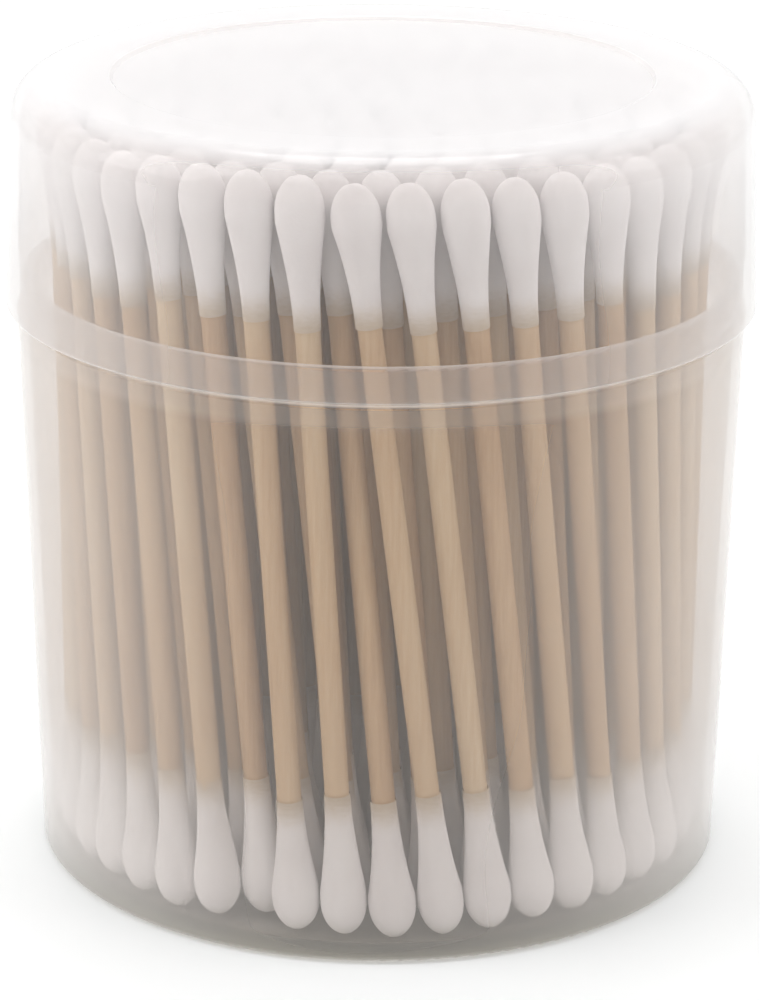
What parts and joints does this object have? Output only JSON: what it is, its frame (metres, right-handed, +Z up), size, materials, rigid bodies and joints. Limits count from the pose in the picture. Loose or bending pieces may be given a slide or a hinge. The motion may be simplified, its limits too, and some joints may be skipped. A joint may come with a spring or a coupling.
{
  "type": "cotton swab tub",
  "caption": "Round milky plastic tub with a push-on lid, filled with upright wooden-stick cotton swabs in rings.",
  "frame": {"origin": "centre of the tub's base, on the surface it stands on", "axes": "+Z up along the tub's axis, -Y towards the front"},
  "size_m": [0.0754, 0.0754, 0.08],
  "materials": {
    "milky_plastic": "smooth translucent polypropylene",
    "clear_plastic": "smooth translucent polypropylene",
    "stick_wood": "plain sanded birch",
    "cotton": "wound cotton wool"
  },
  "bodies": {
    "tub_and_swabs": {"tub": "milky_plastic", "sticks_row_1": "stick_wood", "sticks_row_2": "stick_wood", "sticks_row_3": "stick_wood", "sticks_row_4": "stick_wood", "sticks_row_5": "stick_wood", "sticks_row_6": "stick_wood", "sticks_row_7": "stick_wood", "top_buds_row_1": "cotton", "top_buds_row_2": "cotton", "top_buds_row_3": "cotton", "top_buds_row_4": "cotton", "top_buds_row_5": "cotton", "top_buds_row_6": "cotton", "top_buds_row_7": "cotton", "bottom_buds_row_1": "cotton", "bottom_buds_row_2": "cotton", "bottom_buds_row_3": "cotton", "bottom_buds_row_4": "cotton", "bottom_buds_row_5": "cotton", "bottom_buds_row_6": "cotton", "bottom_buds_row_7": "cotton"},
    "lid": {"lid": "clear_plastic"}
  },
  "joints": [
    {"name": "lid_lift", "type": "slide", "parent": "tub_and_swabs", "child": "lid", "axis": [0, 0, 1], "range_m": [0, 0.035]}
  ]
}
